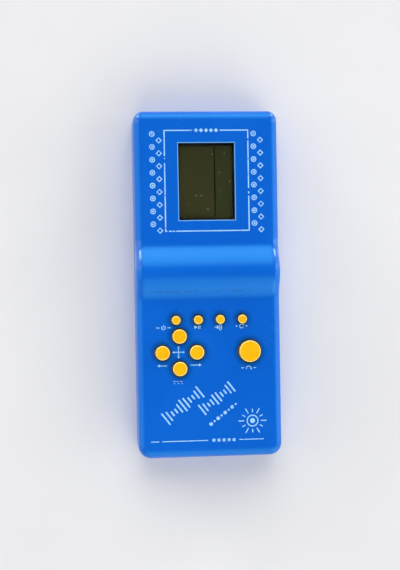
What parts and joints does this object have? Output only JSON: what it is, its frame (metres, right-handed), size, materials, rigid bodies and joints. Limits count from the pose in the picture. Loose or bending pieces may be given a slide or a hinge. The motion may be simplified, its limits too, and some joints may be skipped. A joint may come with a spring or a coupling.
{
  "type": "handheld game console",
  "caption": "Slim blue handheld game console with a sunken segment display, a rounded cross hump, a direction pad, a large action button and a sliding battery door.",
  "frame": {"origin": "middle of the back, on the surface the console lies on", "axes": "+X to the right of the screen, +Y toward the screen end, +Z out of the front face"},
  "size_m": [0.075, 0.18, 0.029],
  "materials": {
    "shell_blue": "satin-gloss moulded blue",
    "button_yellow": "satin yellow",
    "window_clear": "clear polished",
    "display_glass": "dark olive display cell",
    "polariser_front": "smoked olive film",
    "polariser_rear": "grey reflective film",
    "zebra_rubber": "pink silicone with a dark core",
    "foam_black": "soft black foam",
    "board_laminate": "brown paper laminate",
    "resin_black": "black resin",
    "capacitor_sleeve": "dark blue sleeve",
    "resistor_body": "beige lacquer",
    "keypad_rubber": "translucent grey silicone",
    "carbon_rubber": "black conductive rubber",
    "cell_jacket": "printed jacket",
    "contact_steel": "nickel-plated",
    "disc_brass": "plain brass",
    "piezo_ceramic": "silvered ceramic",
    "lead_insulation": "coloured insulation",
    "screw_steel": "zinc-plated"
  },
  "bodies": {
    "case": {"front_shell": "shell_blue", "rear_shell": "shell_blue", "screen_window": "window_clear", "lcd_glass": "display_glass", "lcd_front_polariser": "polariser_front", "lcd_rear_polariser": "polariser_rear", "zebra_strip": "zebra_rubber", "lcd_foam": "foam_black", "circuit_board": "board_laminate", "chip_blob": "resin_black", "capacitor": "capacitor_sleeve", "resistors": "resistor_body", "rubber_keypad": "keypad_rubber", "aa_cell_low": "cell_jacket", "aa_cell_high": "cell_jacket", "positive_contact": "contact_steel", "negative_contact": "contact_steel", "bridge_contact": "contact_steel", "buzzer_disc": "disc_brass", "buzzer_ceramic": "piezo_ceramic", "battery_leads": "lead_insulation", "buzzer_leads": "lead_insulation", "case_screws": "screw_steel", "board_screws": "screw_steel"},
    "door": {"battery_door": "shell_blue"},
    "power_key": {"button_power": "button_yellow", "pill_power": "carbon_rubber"},
    "start_key": {"button_start": "button_yellow", "pill_start": "carbon_rubber"},
    "sound_key": {"button_sound": "button_yellow", "pill_sound": "carbon_rubber"},
    "reset_key": {"button_reset": "button_yellow", "pill_reset": "carbon_rubber"},
    "up_key": {"button_up": "button_yellow", "pill_up": "carbon_rubber"},
    "down_key": {"button_down": "button_yellow", "pill_down": "carbon_rubber"},
    "left_key": {"button_left": "button_yellow", "pill_left": "carbon_rubber"},
    "right_key": {"button_right": "button_yellow", "pill_right": "carbon_rubber"},
    "rotate_key": {"button_rotate": "button_yellow", "pill_rotate": "carbon_rubber"}
  },
  "joints": [
    {"name": "power_press", "type": "slide", "parent": "case", "child": "power_key", "axis": [0, 0, -1], "range_m": [0, 0.0012], "stiffness_N_per_m": 900, "deforming": ["rubber_keypad"]},
    {"name": "start_press", "type": "slide", "parent": "case", "child": "start_key", "axis": [0, 0, -1], "range_m": [0, 0.0012], "stiffness_N_per_m": 900, "deforming": ["rubber_keypad"]},
    {"name": "sound_press", "type": "slide", "parent": "case", "child": "sound_key", "axis": [0, 0, -1], "range_m": [0, 0.0012], "stiffness_N_per_m": 900, "deforming": ["rubber_keypad"]},
    {"name": "reset_press", "type": "slide", "parent": "case", "child": "reset_key", "axis": [0, 0, -1], "range_m": [0, 0.0012], "stiffness_N_per_m": 900, "deforming": ["rubber_keypad"]},
    {"name": "up_press", "type": "slide", "parent": "case", "child": "up_key", "axis": [0, 0, -1], "range_m": [0, 0.0012], "stiffness_N_per_m": 900, "deforming": ["rubber_keypad"]},
    {"name": "down_press", "type": "slide", "parent": "case", "child": "down_key", "axis": [0, 0, -1], "range_m": [0, 0.0012], "stiffness_N_per_m": 900, "deforming": ["rubber_keypad"]},
    {"name": "left_press", "type": "slide", "parent": "case", "child": "left_key", "axis": [0, 0, -1], "range_m": [0, 0.0012], "stiffness_N_per_m": 900, "deforming": ["rubber_keypad"]},
    {"name": "right_press", "type": "slide", "parent": "case", "child": "right_key", "axis": [0, 0, -1], "range_m": [0, 0.0012], "stiffness_N_per_m": 900, "deforming": ["rubber_keypad"]},
    {"name": "rotate_press", "type": "slide", "parent": "case", "child": "rotate_key", "axis": [0, 0, -1], "range_m": [0, 0.0012], "stiffness_N_per_m": 1200, "deforming": ["rubber_keypad"]},
    {"name": "door_slide", "type": "slide", "parent": "case", "child": "door", "axis": [0, -1, 0], "range_m": [0, 0.036]}
  ]
}
